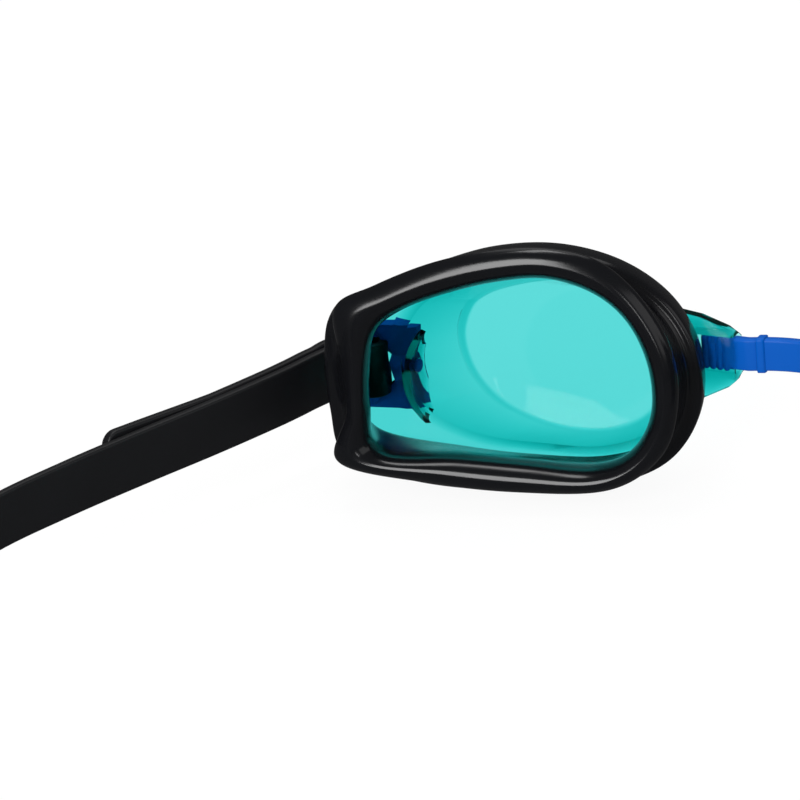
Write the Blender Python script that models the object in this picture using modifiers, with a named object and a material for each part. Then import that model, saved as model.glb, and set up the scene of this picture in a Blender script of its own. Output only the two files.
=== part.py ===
"""Swim goggles: two lens cups with soft gaskets, joined by a toothed nose bridge, and one
strap looped through a swivelling clip at each temple.

X runs across the face with the left eye at +X, the wearer looks along -Y, and Z is up.
The goggles stand on the lower edges of their gaskets, at z = 0.
Lengths are in millimetres until mm() turns them to metres.
"""

import math

import bmesh
import bpy
from mathutils import Matrix, Vector
from mathutils.geometry import interpolate_bezier

# Driving dimensions, in millimetres and degrees
ORIGIN_Y = 76.4  # the origin is this far behind the plane that the pieces are placed from
CUP_CENTRE = (43.0, 8.0, 21.0)  # middle of the left eyecup, at the back of its flange
CUP_WRAP = 15.0  # each eyecup's temple end turns back by this
CUP_TILT = 8.0  # and its top leans forward by this
DRAFT = 0.14  # the flange's edge follows the world's Y, not the tilted cup's

FLANGE_FRONT = -5.0  # heights over the flange's back face, towards the face
FLANGE_BACK = -0.2
VALLEY = 1.0
VALLEY_INSET = 2.6
LIP_HEIGHT = 7.2
CREST_HEIGHT = 9.2
INNER_HEIGHT = 6.0

GAP = 0.3  # between pieces that are bonded or rest on each other
OVERCUT = 1.0  # a cutter that passes through a face goes on for this
LENS_RIM = 1.6  # thickness of the lens's flat rim
LENS_WALL = 2.0
LENS_FACE = 1.3
FACE_EDGE = (1.4, 0.4, 0.6)  # its rounded edge: in across the face, in at the side, and down
HOLLOW_EDGE = 0.5  # chamfer round the inside of the face
LENS_INSET = 2.2  # the rim's edge stays inside the gasket's by this

LUG_Y = -7.6
LUG_END = 10.3
LUG_DEPTH = 3.8
BRIDGE_Z = 21.0
BRIDGE_HEIGHT = 5.6
BRIDGE_THICKNESS = 1.7
BRIDGE_END = 16.4
BRIDGE_ARCH = 1.6
ARCH_END = 8.3  # the arch is level from here to the lug
BRIDGE_CORNER = 0.5  # chamfer along the strip's four edges
SLOT_CLEARANCE = 0.3
TOOTH_PITCH = 1.2
TOOTH_WIDTH = 0.7
TOOTH_RISE = 0.25
TOOTH_COUNT = 4
RIB = (5.6, 7.0)  # the strip's thicker band outside the lug
RIB_SLOPE = 0.2
RIB_RISE = 0.35

PIVOT = (66.1, 1.7, 16.2)  # the left clip's pivot, on an axis along X
STUD_RADIUS = 1.2
STUD_HEAD_RADIUS = 1.8
STUD_TIP = 63.4
STUD_CHAMFER = 0.3
HEAD_CHAMFER = 0.3
CRADLE_RADIUS = 10.9  # of the lens's domed wall that the clip turns against
CRADLE_WALL = 1.2
CRADLE_PROFILE = [(9.6, 7.4), (1.2, 7.4), (-2.2, 3.2)]  # its upper half's (y, z) from the pivot
CRADLE_BACK = -6.1  # in the cup's frame, inside the thickness of the lens's rim
HUB_RADIUS = 2.5
HUB_THICKNESS = 1.4
HUB_STEP = 0.1  # the hub stands out of the clip's upright by this
PIVOT_CLEARANCE = 0.08
HEAD_THICKNESS = 0.5  # the stud's head is sunk in the hub
BAR_CENTRE = (71.8, 3.6)  # the bar that the strap loops round, in plan
BAR_LENGTH = 2.4
BAR_THICKNESS = 1.4
BAR_QUARTERS = ((1.0, 0.4), (0.6, 1.0), (-0.6, 1.0), (-1.0, 0.4))  # shares of its half sizes
BAR_ROOT = 0.5  # how deep the bar's ends go into the arms, less than their height
CLIP_HALF_SLOT = 5.2
CLIP_ARM = 2.2  # height of each arm
CLIP_ARM_WIDTH = 2.4
CLIP_HORN = 1.9  # how far each arm reaches past the hub, towards the nose
HORN_TAPER = 0.8  # the reach gets thinner by this, to stay clear of the lens's wall
ARM_REACH = 1.6  # and past the middle of the bar, towards the temple

STRAP_WIDTH = 9.4
STRAP_THICKNESS = 1.6
STRAP_STEPS = 4  # points on each stretch of the strap's route
STRAP_ANGLE = 60.0  # from straight back, where the strap leaves its clip
LOOP_RADIUS = 2.23
LOOP_STRAIGHT = 2.4  # the tail leaves the bar at the loop's full width for this far
LOOP_CLOSING = 7.0  # and comes down to the strap over this
LOOP_CENTRE = (0.92, 0.43)  # of the loop, back along and in across the strap from the bar
LOOP_STEPS = 8
LOOP_EXIT = (2.6, 0.35)  # the strap's first step, along and across, off the loop
TAIL_END_Y = 51.0  # the tail doubles back to here
TAIL_LIFT = (30.0, 0.9)  # past this far back the tail rises over the strap, by this at its end

OUTLINE_STEPS = 4  # points on each stretch of an outline

# Outlines of the left eyecup as (across towards the temple, up), from its upper temple
# corner over the top to the nose, along the bottom and up the temple side
FLANGE = [
    (29.9, 8.9), (24.0, 12.0), (13.8, 16.0), (3.0, 19.2), (-8.0, 19.6), (-18.3, 16.6),
    (-26.2, 10.4), (-30.3, 1.5), (-29.7, -8.2), (-24.0, -16.0), (-13.0, -20.0), (2.0, -20.8),
    (17.0, -19.4), (28.6, -15.4), (30.9, -7.0), (31.4, 2.4),
]
LIP = [
    (27.6, 11.8), (21.0, 15.6), (11.5, 19.4), (1.5, 21.6), (-7.5, 22.0), (-16.0, 19.7),
    (-22.8, 13.2), (-27.2, 4.5), (-27.6, -4.5), (-24.6, -12.6), (-16.0, -18.2), (-1.0, -18.7),
    (14.0, -17.2), (28.2, -13.9), (26.4, -5.6), (26.8, 2.4),
]
CREST = [
    (24.0, 10.2), (18.6, 13.4), (10.6, 16.6), (1.4, 18.8), (-7.4, 19.4), (-15.6, 16.8),
    (-21.6, 11.0), (-25.2, 3.2), (-25.4, -5.4), (-22.0, -12.6), (-14.4, -16.8), (-1.8, -16.6),
    (10.6, -15.4), (25.0, -13.2), (24.6, -5.4), (24.6, 2.4),
]
INNER = [
    (20.8, 7.8), (16.4, 11.2), (9.4, 13.8), (1.2, 15.8), (-7.0, 16.4), (-14.4, 14.0),
    (-19.6, 9.4), (-22.6, 2.2), (-22.8, -5.6), (-19.4, -11.8), (-13.0, -14.4), (-2.0, -13.6),
    (9.0, -12.7), (21.2, -12.0), (22.5, -5.0), (22.2, 2.6),
]
SEAT = [
    (24.6, 8.6), (18.0, 12.0), (9.6, 14.8), (0.0, 16.6), (-9.0, 16.8), (-17.4, 14.4),
    (-23.4, 9.2), (-26.6, 1.8), (-26.2, -6.6), (-22.0, -13.2), (-13.4, -16.0), (-2.0, -15.8),
    (9.0, -14.6), (23.4, -11.8), (26.6, -5.0), (26.8, 2.4),
]
CUP_REAR = [
    (16.6, 8.0), (12.6, 11.0), (6.5, 13.4), (-1.0, 15.0), (-9.0, 15.2), (-16.5, 13.0),
    (-22.0, 8.4), (-25.0, 1.6), (-24.8, -6.0), (-21.0, -12.0), (-13.0, -14.6), (-3.5, -14.2),
    (6.5, -12.9), (14.6, -9.4), (18.6, -4.0), (19.5, 2.2),
]
CUP_FRONT = [
    (8.6, 6.6), (6.0, 9.0), (1.5, 10.6), (-4.0, 11.6), (-10.0, 11.6), (-15.8, 10.0),
    (-20.4, 6.6), (-23.0, 1.6), (-23.2, -4.2), (-20.6, -9.4), (-15.4, -12.4), (-8.4, -13.0),
    (-1.2, -11.4), (4.6, -8.2), (8.4, -3.6), (9.9, 2.0),
]
HALF_SIZE = (31.5, 20.5)  # of the flange, for moving an outline in or out

# The nose lug's sections as (x, lower edge, upper edge)
LUG_SECTIONS = [
    (20.5, 11.8, 27.4), (16.5, 12.6, 26.9), (12.0, 15.0, 25.4), (10.7, 16.2, 24.5),
    (LUG_END, 17.0, 23.7),
]

# The strap's route from beside the left eyecup to the middle of its rear, as (x, y, z)
STRAP_ROUTE = [
    (75.6, 7.4, 16.0), (77.7, 10.6, 15.7), (79.4, 14.9, 15.5), (81.5, 20.2, 15.4),
    (86.3, 31.5, 15.3), (92.3, 45.0, 15.3), (98.4, 60.0, 15.4), (103.9, 75.0, 15.2),
    (107.6, 90.0, 13.9), (107.6, 106.0, 11.5), (101.6, 123.0, 8.9), (88.0, 139.5, 6.8),
    (66.0, 152.0, 5.4), (36.0, 159.5, 4.85), (0.0, 162.0, 4.75),
]

GASKET_BLACK = (0.016, 0.017, 0.021)
STRAP_BLACK = (0.010, 0.011, 0.014)
LENS_TEAL = (0.05, 0.72, 0.68)
CLIP_BLUE = (0.0, 0.12, 0.50)


def mm(*values):
    """A vector in metres from lengths in millimetres."""
    return Vector(values) * 0.001


def clear_scene():
    for thing in list(bpy.data.objects):
        bpy.data.objects.remove(thing, do_unlink=True)


def collection(name):
    made = bpy.data.collections.new(name)
    bpy.context.scene.collection.children.link(made)
    return made


def material(name, colour, roughness, transmission=0.0):
    made = bpy.data.materials.new(name)
    made.use_nodes = True
    shader = made.node_tree.nodes["Principled BSDF"]
    shader.inputs["Base Color"].default_value = (*colour, 1.0)
    shader.inputs["Roughness"].default_value = roughness
    shader.inputs["Metallic"].default_value = 0.0
    shader.inputs["Transmission Weight"].default_value = transmission
    return made


def empty(name, place, turn=(0.0, 0.0, 0.0), parent=None):
    made = bpy.data.objects.new(name, None)
    made.location = mm(*place)
    made.rotation_euler = [math.radians(a) for a in turn]
    made.parent = parent
    PARTS.objects.link(made)
    bpy.context.view_layer.update()
    return made


def add(name, mesh, finish, parent):
    """A sub-part from a mesh in its parent's frame."""
    made = bpy.data.objects.new(name, mesh)
    made.parent = parent
    if finish:
        mesh.materials.append(finish)
    PARTS.objects.link(made)
    return made


def cutter(name, mesh, parent):
    made = bpy.data.objects.new(name, mesh)
    made.parent = parent
    made.hide_render = True
    made.display_type = "WIRE"
    CUTTERS.objects.link(made)
    return made


def combine(target, other, operation):
    change = target.modifiers.new(other.name, "BOOLEAN")
    change.operation = operation
    change.solver = "EXACT"
    change.object = other


def mesh_of(shape, name):
    mesh = bpy.data.meshes.new(name)
    bmesh.ops.recalc_face_normals(shape, faces=shape.faces)
    shape.to_mesh(mesh)
    shape.free()
    return mesh


def outline(points, steps=OUTLINE_STEPS):
    """Points of a smooth closed curve through a few."""
    count = len(points)
    made = []
    for i in range(count):
        before, start, end, after = [Vector(points[(i + k) % count]) for k in (-1, 0, 1, 2)]
        first = start + (end - before) / 6
        second = end - (after - start) / 6
        made += interpolate_bezier(start, first, second, end, steps + 1)[:-1]
    return [(p.x, p.y) for p in made]


def inset(points, distance):
    """An outline moved inwards, or outwards where the distance is negative."""
    across = 1 - distance / HALF_SIZE[0]
    up = 1 - distance / HALF_SIZE[1]
    return [(s * across, t * up) for s, t in points]


def outset(points, distance):
    """An outline moved outwards about its own middle."""
    made = [[], []]
    for axis in (0, 1):
        values = [p[axis] for p in points]
        middle = (min(values) + max(values)) / 2
        half = (max(values) - min(values)) / 2
        made[axis] = [middle + (v - middle) * (1 + distance / half) for v in values]
    return list(zip(*made))


def ring(points, height, draft=0.0):
    """An outline at a height in the eyecup's frame, whose Y points to the face."""
    return [mm(s, height, t - draft * (height + 3)) for s, t in outline(points)]


def loft(rings, closed):
    """A skin over rings with the same number of points, round again or capped at both ends."""
    shape = bmesh.new()
    rows = [[shape.verts.new(p) for p in row] for row in rings]
    pairs = list(zip(rows, rows[1:]))
    if closed:
        pairs.append((rows[-1], rows[0]))
    for low, high in pairs:
        for i in range(len(low)):
            k = (i + 1) % len(low)
            shape.faces.new((low[i], low[k], high[k], high[i]))
    if not closed:
        shape.faces.new(rows[0])
        shape.faces.new(rows[-1])
    return shape


def box(low, high):
    """A box between two corners."""
    low, high = mm(*low), mm(*high)
    shape = bmesh.new()
    place = Matrix.Translation((low + high) / 2) @ Matrix.Diagonal((*(high - low), 1.0))
    bmesh.ops.create_cube(shape, size=1.0, matrix=place)
    return shape


def rod(start, end, radius, sides=32):
    """A round rod between two points."""
    start, end = mm(*start), mm(*end)
    along = end - start
    turn = along.to_track_quat("Z", "Y").to_matrix().to_4x4()
    place = Matrix.Translation((start + end) / 2) @ turn
    shape = bmesh.new()
    bmesh.ops.create_cone(
        shape, cap_ends=True, segments=sides, radius1=radius * 0.001, radius2=radius * 0.001,
        depth=along.length, matrix=place,
    )
    return shape


def ball(centre, radius):
    """A ball with its poles along X."""
    shape = bmesh.new()
    place = Matrix.Translation(mm(*centre)) @ Matrix.Rotation(math.radians(90), 4, "Y")
    bmesh.ops.create_uvsphere(
        shape, u_segments=48, v_segments=40, radius=radius * 0.001, matrix=place
    )
    return shape


def plan_block(corners, low, high):
    """An upright block over a plan outline, between two heights."""
    return loft([[mm(x, y, z) for x, y in corners] for z in (low, high)], False)


def mirrored(source, name, finish, parent):
    """The other side's copy of a left sub-part, under the frame that mirrors its own."""
    bpy.context.view_layer.update()
    evaluated = source.evaluated_get(bpy.context.evaluated_depsgraph_get())
    mesh = bpy.data.meshes.new_from_object(evaluated)
    mesh.name = name
    mesh.transform(Matrix.Scale(-1, 4, (1, 0, 0)))
    mesh.flip_normals()
    mesh.materials.clear()
    return add(name, mesh, finish, parent)


def lens_face_height(across):
    """The lens face is nearer to the flange at the nose than at the temple."""
    return -11.3 - 0.07 * across


def make_gasket(parent):
    rings = [
        ring(SEAT, FLANGE_FRONT),
        ring(FLANGE, FLANGE_FRONT, DRAFT),
        ring(FLANGE, FLANGE_BACK, DRAFT),
        ring(inset(FLANGE, VALLEY_INSET), VALLEY),
        ring(LIP, LIP_HEIGHT),
        ring(CREST, CREST_HEIGHT),
        ring(INNER, INNER_HEIGHT),
    ]
    mesh = mesh_of(loft(rings, True), "left_gasket")
    return add("left_gasket", mesh, BLACK, parent)


def face_ring(points, drop):
    return [mm(s, lens_face_height(s) + drop, t) for s, t in outline(points)]


def make_lens(parent):
    rim_back = FLANGE_FRONT - GAP
    rim_front = rim_back - LENS_RIM
    across, side, down = FACE_EDGE
    rings = [
        face_ring(outset(CUP_FRONT, LENS_WALL - across), -LENS_FACE),
        face_ring(outset(CUP_FRONT, LENS_WALL - side), down - LENS_FACE),
        ring(outset(CUP_REAR, LENS_WALL), rim_front),
        ring(inset(FLANGE, LENS_INSET), rim_front, DRAFT),
        ring(inset(FLANGE, LENS_INSET), rim_back, DRAFT),
    ]
    lens = add("left_lens", mesh_of(loft(rings, False), "left_lens"), TEAL, parent)

    half = LUG_DEPTH / 2
    sections = []
    for x, low, high in LUG_SECTIONS:
        corners = ((-half, low), (half, low), (half, high), (-half, high))
        sections.append([mm(x, LUG_Y + y, z) for y, z in corners])
    lug = cutter("nose_lug", mesh_of(loft(sections, False), "nose_lug"), ROOT)
    combine(lens, lug, "UNION")
    combine(lens, make_cradle(parent), "UNION")
    hollow = [
        face_ring(CUP_FRONT, 0.0),
        face_ring(inset(CUP_FRONT, -HOLLOW_EDGE), HOLLOW_EDGE),
        ring(CUP_REAR, rim_back),
        ring(CUP_REAR, rim_back + OVERCUT),
    ]
    hollow = mesh_of(loft(hollow, False), "cup_hollow")
    combine(lens, cutter("cup_hollow", hollow, parent), "DIFFERENCE")

    reach = BRIDGE_HEIGHT / 2 + SLOT_CLEARANCE
    depth = BRIDGE_THICKNESS / 2 + TOOTH_RISE + SLOT_CLEARANCE
    slot = box(
        (LUG_END - OVERCUT, LUG_Y - depth, BRIDGE_Z - reach),
        (BRIDGE_END + TOOTH_PITCH + GAP, LUG_Y + depth, BRIDGE_Z + reach),
    )
    combine(lens, cutter("lug_slot", mesh_of(slot, "lug_slot"), ROOT), "DIFFERENCE")
    bore = STUD_RADIUS + PIVOT_CLEARANCE
    hole = rod((STUD_TIP - 2 * GAP, *PIVOT[1:]), (PIVOT[0], *PIVOT[1:]), bore)
    combine(lens, cutter("stud_hole", mesh_of(hole, "stud_hole"), ROOT), "DIFFERENCE")
    return lens


def cradle_centre():
    """Middle of the ball that shapes the cradle and the clip's hub, from the pivot."""
    return Vector((-HUB_THICKNESS / 2 - GAP - CRADLE_RADIUS, 0, 0))


def make_cradle(parent):
    """The lens's domed wall that holds the clip's stud, standing forward from the rim."""
    profile = CRADLE_PROFILE + [(y, -z) for y, z in reversed(CRADLE_PROFILE)]
    rows = [[mm(x, y, z) for y, z in profile] for x in (-CRADLE_RADIUS, 0)]
    cradle = cutter("pivot_cradle", mesh_of(loft(rows, False), "pivot_cradle"), PIVOT_FRAME)
    outside = mesh_of(ball(cradle_centre(), CRADLE_RADIUS), "cradle_outside")
    combine(cradle, cutter("cradle_outside", outside, PIVOT_FRAME), "INTERSECT")
    inner = cradle_centre() - Vector((CRADLE_WALL, 0, 0))
    inside = mesh_of(ball(inner, CRADLE_RADIUS), "cradle_inside")
    combine(cradle, cutter("cradle_inside", inside, PIVOT_FRAME), "DIFFERENCE")
    reach = 2 * HALF_SIZE[0]
    behind = box((-reach, CRADLE_BACK, -reach), (reach, reach, reach))
    combine(cradle, cutter("behind_rim", mesh_of(behind, "behind_rim"), parent), "DIFFERENCE")
    return cradle


def make_stud(parent):
    """The headed stud that the clip turns on, as a turned profile about X."""
    top = HUB_THICKNESS / 2
    head = top - HEAD_THICKNESS
    profile = [
        (top, 0.0),
        (top, STUD_HEAD_RADIUS - HEAD_CHAMFER),
        (top - HEAD_CHAMFER, STUD_HEAD_RADIUS),
        (head, STUD_HEAD_RADIUS),
        (head, STUD_RADIUS),
        (STUD_TIP - PIVOT[0] + STUD_CHAMFER, STUD_RADIUS),
        (STUD_TIP - PIVOT[0], STUD_RADIUS - STUD_CHAMFER),
        (STUD_TIP - PIVOT[0], 0.0),
    ]
    mesh = bpy.data.meshes.new("left_clip_pivot")
    points = [mm(along, 0.0, out) for along, out in profile]
    mesh.from_pydata(points, [(i, i + 1) for i in range(len(points) - 1)], [])
    stud = add("left_clip_pivot", mesh, BLUE, parent)
    turn = stud.modifiers.new("turn", "SCREW")
    turn.axis = "X"
    turn.steps = 32
    turn.render_steps = 32
    turn.use_merge_vertices = True
    turn.merge_threshold = 0.00001
    return stud


def make_clip(parent):
    """A frame round the strap's loop, with the hub it turns on. Its frame is at the pivot."""
    half_arm = CLIP_ARM_WIDTH / 2
    top = CLIP_HALF_SLOT + CLIP_ARM
    half_hub = HUB_THICKNESS / 2
    bar = Vector((BAR_CENTRE[0] - PIVOT[0], BAR_CENTRE[1] - PIVOT[1]))
    horn = -half_hub - CLIP_HORN
    tip = bar.x + ARM_REACH
    plan = [
        (horn, -half_arm), (half_hub, -half_arm), (tip, bar.y - half_arm + GAP),
        (tip, bar.y + half_arm - 2 * GAP), (half_hub, half_arm), (-half_hub, half_arm),
        (horn, half_arm - HORN_TAPER),
    ]
    body = mesh_of(plan_block(plan, -top, top), "left_side_clip")
    clip = add("left_side_clip", body, BLUE, parent)
    window = box((half_hub, -top, -CLIP_HALF_SLOT), (tip + GAP, top, CLIP_HALF_SLOT))
    combine(clip, cutter("strap_window", mesh_of(window, "strap_window"), parent), "DIFFERENCE")
    hub = rod((-HUB_THICKNESS, 0, 0), (half_hub + HUB_STEP, 0, 0), HUB_RADIUS)
    hub = mesh_of(hub, "clip_hub")
    combine(clip, cutter("clip_hub", hub, parent), "UNION")
    hollow = mesh_of(ball(cradle_centre(), CRADLE_RADIUS + GAP), "cradle_room")
    combine(clip, cutter("cradle_room", hollow, parent), "DIFFERENCE")
    post = plan_block(bar_section(bar), -top + BAR_ROOT, top - BAR_ROOT)
    combine(clip, cutter("strap_bar", mesh_of(post, "strap_bar"), parent), "UNION")
    bore = STUD_RADIUS + PIVOT_CLEARANCE
    hole = rod((-HUB_THICKNESS, 0, 0), (HUB_THICKNESS, 0, 0), bore)
    combine(clip, cutter("hub_hole", mesh_of(hole, "hub_hole"), parent), "DIFFERENCE")
    foot = half_hub - HEAD_THICKNESS - PIVOT_CLEARANCE
    seat = rod((foot, 0, 0), (HUB_THICKNESS, 0, 0), STUD_HEAD_RADIUS + PIVOT_CLEARANCE)
    combine(clip, cutter("head_seat", mesh_of(seat, "head_seat"), parent), "DIFFERENCE")
    return clip


def bar_section(centre):
    """The strap bar's rounded section in plan, set along the strap where it leaves."""
    along, across = strap_directions()
    half_along, half_across = along * BAR_LENGTH / 2, across * BAR_THICKNESS / 2
    made = []
    for a, b in [*BAR_QUARTERS, *((-a, -b) for a, b in BAR_QUARTERS)]:
        corner = centre + half_along * a + half_across * b
        made.append((corner.x, corner.y))
    return made


def strap_directions():
    """Along the strap where it leaves the left clip, and outwards across it, in plan."""
    angle = math.radians(STRAP_ANGLE)
    return Vector((math.sin(angle), math.cos(angle))), Vector((math.cos(angle), -math.sin(angle)))


def make_bridge():
    """A strip that arches forward between the lugs, ribbed outside each and toothed inside."""
    half = BRIDGE_THICKNESS / 2
    reach = BRIDGE_HEIGHT / 2
    near, far = RIB
    stations = [(0.0, 0.0), (near / 2, 0.0), (near, 0.0), (near + RIB_SLOPE, RIB_RISE)]
    stations += [(far - RIB_SLOPE, RIB_RISE), (far, 0.0), (LUG_END, 0.0)]
    start = BRIDGE_END - TOOTH_COUNT * TOOTH_PITCH
    for tooth in range(TOOTH_COUNT):
        foot = start + tooth * TOOTH_PITCH
        stations += [(foot, 0.0), (foot + TOOTH_WIDTH / 2, TOOTH_RISE)]
        stations.append((foot + TOOTH_WIDTH, TOOTH_RISE))
    stations.append((BRIDGE_END, 0.0))
    sections = []
    for x, rise in stations:
        middle = LUG_Y - BRIDGE_ARCH * max(0.0, 1 - (x / ARCH_END) ** 2)
        y, z, cut = half + rise, reach + min(rise, TOOTH_RISE), BRIDGE_CORNER
        corners = [(-y, -z + cut), (-y + cut, -z), (y - cut, -z), (y, -z + cut)]
        corners += [(y, z - cut), (y - cut, z), (-y + cut, z), (-y, z - cut)]
        sections.append([mm(x, middle + a, BRIDGE_Z + b) for a, b in corners])
    shape = loft(sections, False)
    middle_cap = [f for f in shape.faces if f.calc_center_median().x < 1e-6]
    bmesh.ops.delete(shape, geom=middle_cap, context="FACES")
    bridge = add("nose_bridge", mesh_of(shape, "nose_bridge"), BLUE, ROOT)
    other_half = bridge.modifiers.new("other_half", "MIRROR")
    other_half.merge_threshold = 0.00001
    return bridge


def smooth_path(points, steps):
    """Points of a smooth open curve through a few."""
    rows = [Vector(p) for p in points]
    rows = [rows[0] * 2 - rows[1], *rows, rows[-1] * 2 - rows[-2]]
    made = []
    for before, start, end, after in zip(rows, rows[1:], rows[2:], rows[3:]):
        first = start + (end - before) / 6
        second = end - (after - start) / 6
        made += interpolate_bezier(start, first, second, end, steps + 1)[:-1]
    return made + [rows[-2]]


def strap_half():
    """The left half's centreline: the tail's end, forward to the clip, round its bar and back."""
    along, across = strap_directions()
    back, inwards = LOOP_CENTRE
    centre = Vector(BAR_CENTRE) - along * back - across * inwards
    turn = []
    for i in range(LOOP_STEPS + 1):
        angle = math.pi * i / LOOP_STEPS
        point = centre + across * (LOOP_RADIUS * math.cos(angle)) - along * (LOOP_RADIUS * math.sin(angle))
        turn.append(Vector((point.x, point.y, PIVOT[2])))
    leave = turn[-1].copy()
    leave.xy += along * LOOP_EXIT[0] + across * LOOP_EXIT[1]
    main = smooth_path([turn[-1], leave, *STRAP_ROUTE], STRAP_STEPS)[1:]
    layer = STRAP_THICKNESS + GAP
    tail = []
    travelled = 0.0
    for before, point, after in zip([turn[-1], *main], main, main[1:]):
        if point.y > TAIL_END_Y:
            break
        travelled += (point - before).length
        run = (after - before).normalized()
        closing = min(1.0, max(0.0, (travelled - LOOP_STRAIGHT) / LOOP_CLOSING))
        width = layer + (2 * LOOP_RADIUS - layer) * (1 - closing) ** 2 * (1 + 2 * closing)
        lift_start, lift_height = TAIL_LIFT
        risen = max(0.0, (point.y - lift_start) / (TAIL_END_Y - lift_start))
        tail.append(point + Vector((run.y, -run.x, 0)) * width + Vector((0, 0, lift_height * risen)))
    return tail[::-1] + turn + main


def make_strap():
    left = strap_half()
    right = [Vector((-p.x, p.y, p.z)) for p in reversed(left[:-1])]
    points = left + right
    curve = bpy.data.curves.new("strap", "CURVE")
    curve.dimensions = "3D"
    curve.twist_mode = "Z_UP"
    curve.extrude = STRAP_WIDTH / 2 * 0.001
    line = curve.splines.new("POLY")
    line.points.add(len(points) - 1)
    for knot, point in zip(line.points, points):
        knot.co = (*mm(*point), 1.0)
    strap = bpy.data.objects.new("strap", curve)
    strap.parent = ROOT
    curve.materials.append(BLACK_STRAP)
    PARTS.objects.link(strap)
    wall = strap.modifiers.new("wall", "SOLIDIFY")
    wall.thickness = STRAP_THICKNESS * 0.001
    wall.offset = 0.0
    wall.use_even_offset = True
    return strap


clear_scene()
PARTS = collection("swim_goggles")
CUTTERS = collection("cutters")
BLACK = material("black_silicone", GASKET_BLACK, 0.35)
BLACK_STRAP = material("black_strap_silicone", STRAP_BLACK, 0.5)
TEAL = material("teal_polycarbonate", LENS_TEAL, 0.05, 0.9)
BLUE = material("blue_nylon", CLIP_BLUE, 0.35)

ROOT = empty("goggles_frame", (0.0, -ORIGIN_Y, 0.0))
left_cup = empty("left_cup_frame", CUP_CENTRE, (CUP_TILT, 0.0, CUP_WRAP), ROOT)
PIVOT_FRAME = empty("left_pivot_frame", PIVOT, parent=ROOT)
right_cup = empty("right_cup_frame", (-CUP_CENTRE[0], *CUP_CENTRE[1:]), (CUP_TILT, 0.0, -CUP_WRAP), ROOT)
right_pivot = empty("right_pivot_frame", (-PIVOT[0], *PIVOT[1:]), parent=ROOT)

gasket = make_gasket(left_cup)
lens = make_lens(left_cup)
stud = make_stud(PIVOT_FRAME)
clip = make_clip(PIVOT_FRAME)
mirrored(gasket, "right_gasket", BLACK, right_cup)
mirrored(lens, "right_lens", TEAL, right_cup)
mirrored(stud, "right_clip_pivot", BLUE, right_pivot)
mirrored(clip, "right_side_clip", BLUE, right_pivot)
make_bridge()
make_strap()
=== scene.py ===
"""Looks of a pair of swim goggles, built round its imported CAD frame.

The eye seals and the strap are moulded black silicone, the eyecups are clear teal
polycarbonate, and the nose bridge, the side clips and their pivots are moulded blue nylon.
X runs across the face with the left eye at +X, the wearer looks along -Y, and Z is up.
Places are in millimetres until mm() turns them to metres.
"""

import math

import bmesh
import bpy
from bpy.props import FloatProperty, FloatVectorProperty, PointerProperty
from mathutils import Euler, Matrix, Vector
from mathutils.geometry import interpolate_bezier


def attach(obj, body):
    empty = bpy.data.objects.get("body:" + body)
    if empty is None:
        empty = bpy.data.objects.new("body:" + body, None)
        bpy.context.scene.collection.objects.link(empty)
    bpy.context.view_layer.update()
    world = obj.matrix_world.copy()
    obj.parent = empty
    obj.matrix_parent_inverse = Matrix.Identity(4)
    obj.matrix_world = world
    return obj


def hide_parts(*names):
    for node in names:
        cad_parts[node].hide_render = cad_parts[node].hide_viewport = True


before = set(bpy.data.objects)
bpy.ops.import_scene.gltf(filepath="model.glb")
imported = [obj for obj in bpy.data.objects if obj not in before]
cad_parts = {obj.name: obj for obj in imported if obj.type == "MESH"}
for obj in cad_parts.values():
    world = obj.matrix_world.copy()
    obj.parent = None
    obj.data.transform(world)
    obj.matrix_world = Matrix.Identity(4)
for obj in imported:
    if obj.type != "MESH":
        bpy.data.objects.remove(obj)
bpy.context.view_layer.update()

bl_info = {
    "name": "Swim goggles",
    "version": (1, 0, 0),
    "blender": (4, 5, 0),
    "location": "View3D > Sidebar > Goggles",
    "description": "Builds the finished pieces of a pair of swim goggles on their CAD frame",
    "category": "Object",
}

MM = 0.001

# Frames of the left side's pieces. The right side is the left one's mirror image
ORIGIN = (0.0, -76.4, 0.0)
CUP_PLACE = (43.0, 8.0, 21.0)
CUP_TURN = (8.0, 0.0, 15.0)
PIVOT_PLACE = (66.1, 1.7, 16.2)

# Heights over the back of the seal's flange, towards the face
FLANGE_FRONT = -5.0
DRAFT = 0.14
SEAT_GAP = 0.3
RIM_THICKNESS = 1.6
RIM_INSET = 2.2
WALL = 2.0
FACE_THICKNESS = 1.3
HALF_SIZE = (31.5, 20.5)

OUTLINE_STEPS = 8

# Outlines of the left eyecup as (across towards the temple, up), from its upper temple
# corner over the top to the nose, along the bottom and up the temple side
FLANGE = [
    (29.9, 8.9), (24.0, 12.0), (13.8, 16.0), (3.0, 19.2), (-8.0, 19.6), (-18.3, 16.6),
    (-26.2, 10.4), (-30.3, 1.5), (-29.7, -8.2), (-24.0, -16.0), (-13.0, -20.0), (2.0, -20.8),
    (17.0, -19.4), (28.6, -15.4), (30.9, -7.0), (31.4, 2.4),
]
LIP = [
    (27.6, 11.8), (21.0, 15.6), (11.5, 19.4), (1.5, 21.6), (-7.5, 22.0), (-16.0, 19.7),
    (-22.8, 13.2), (-27.2, 4.5), (-27.6, -4.5), (-24.6, -12.6), (-16.0, -18.2), (-1.0, -18.7),
    (14.0, -17.2), (28.2, -13.9), (26.4, -5.6), (26.8, 2.4),
]
CREST = [
    (24.0, 10.2), (18.6, 13.4), (10.6, 16.6), (1.4, 18.8), (-7.4, 19.4), (-15.6, 16.8),
    (-21.6, 11.0), (-25.2, 3.2), (-25.4, -5.4), (-22.0, -12.6), (-14.4, -16.8), (-1.8, -16.6),
    (10.6, -15.4), (25.0, -13.2), (24.6, -5.4), (24.6, 2.4),
]
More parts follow.
